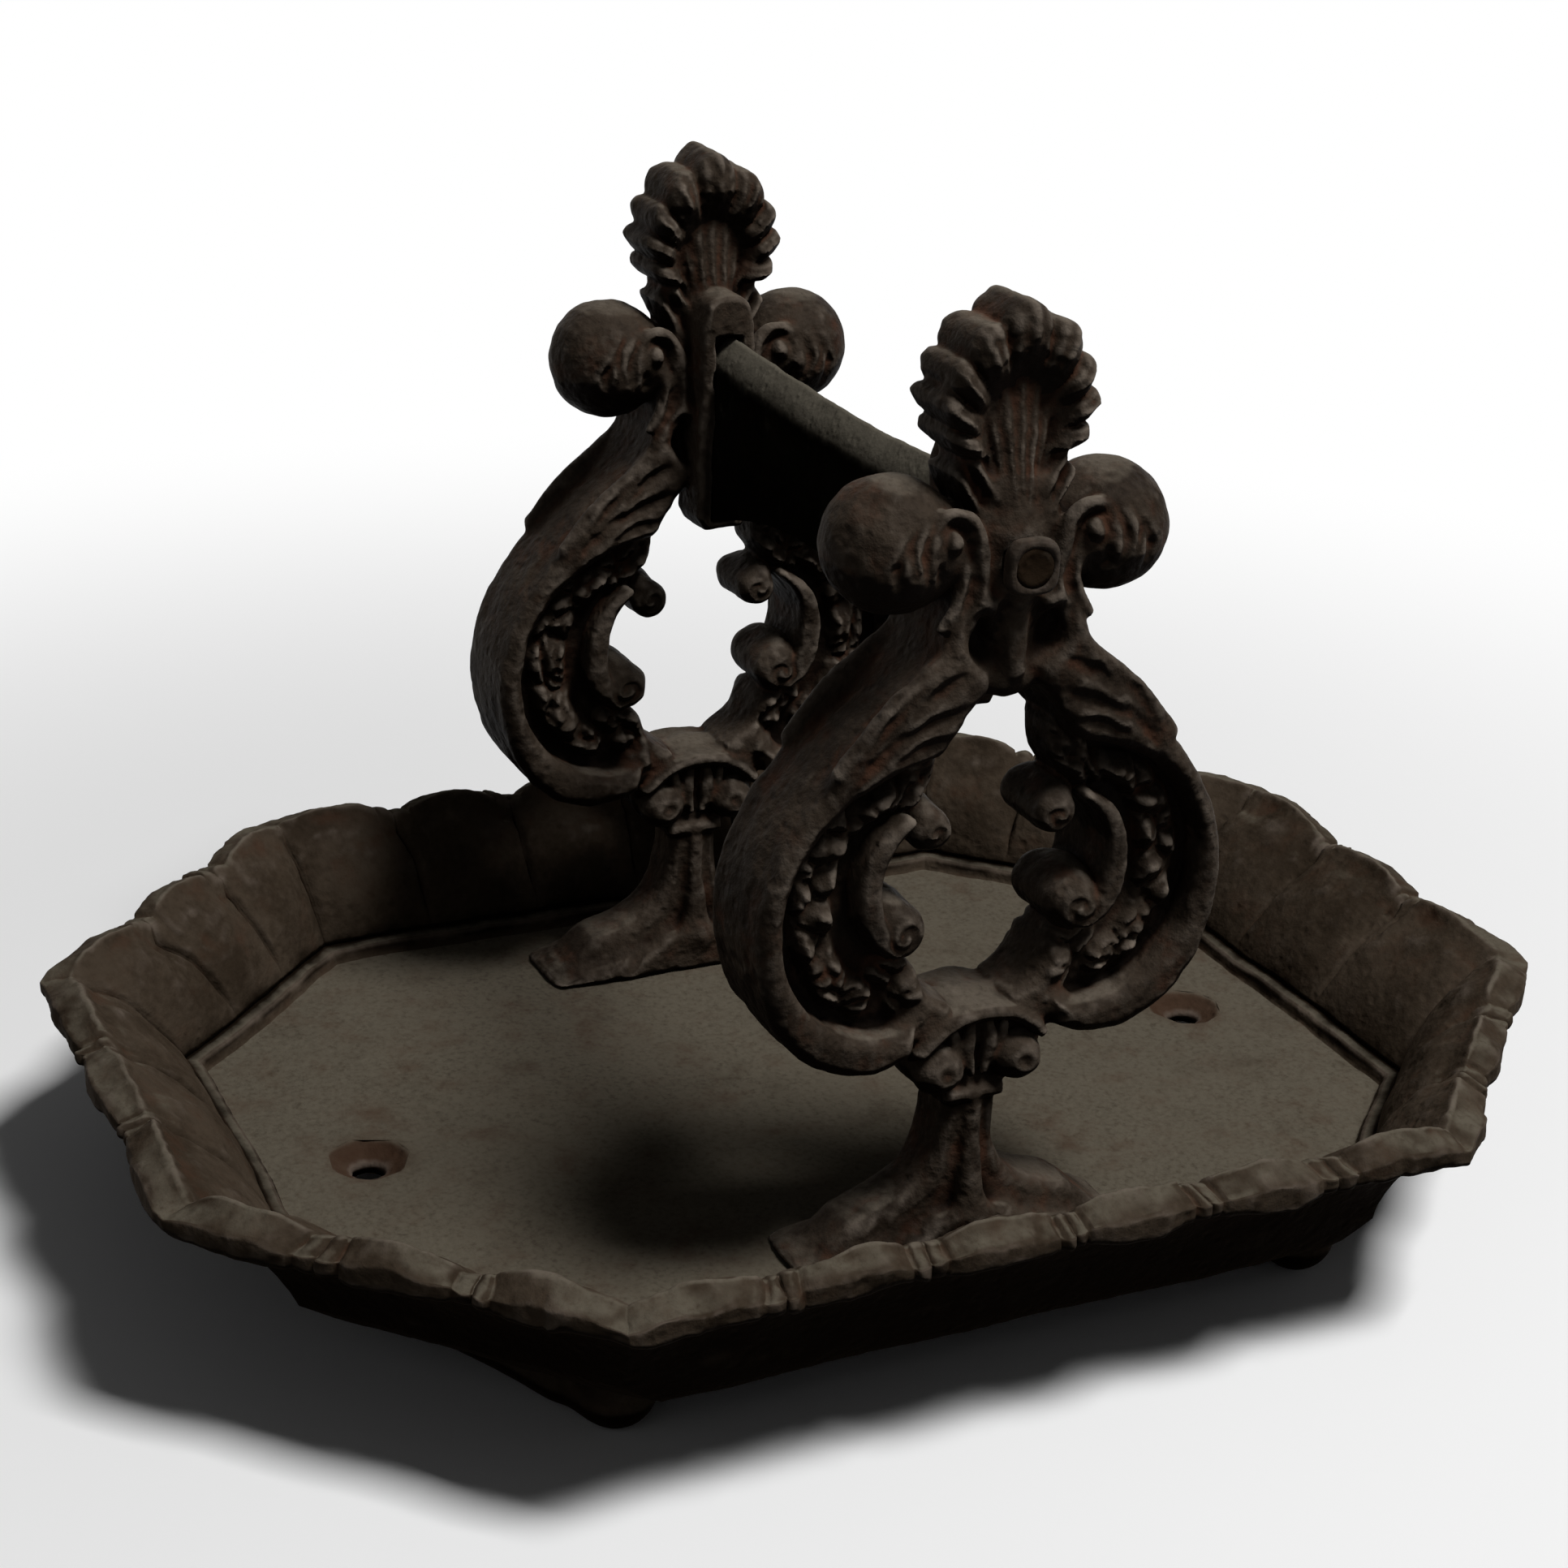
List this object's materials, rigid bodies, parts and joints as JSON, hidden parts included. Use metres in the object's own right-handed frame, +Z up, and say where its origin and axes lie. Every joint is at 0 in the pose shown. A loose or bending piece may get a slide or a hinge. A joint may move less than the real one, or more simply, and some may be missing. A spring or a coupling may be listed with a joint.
{
  "type": "boot scraper",
  "caption": "Cast iron boot scraper: a flat blade held between lyre-shaped scroll supports with shell finials, standing in a footed octagonal tray with a lobed, flared rim.",
  "frame": {"origin": "centre of the tray's footprint, on the ground", "axes": "+Z up, +X along the blade, +Y along the tray"},
  "size_m": [0.304, 0.4, 0.27],
  "materials": {
    "tray_iron": "weathered casting with old rust and a dusty floor",
    "support_iron": "dark brown weathered casting, worn lighter on the high places",
    "blade_iron": "dark flat iron with a worn, paler top edge",
    "fixing_iron": "dull rusted steel"
  },
  "bodies": {
    "root": {"tray": "tray_iron", "front_support": "support_iron", "rear_support": "support_iron", "scraper_blade": "blade_iron", "blade_nuts": "fixing_iron", "base_bolts": "fixing_iron", "base_washers": "fixing_iron"}
  },
  "joints": []
}
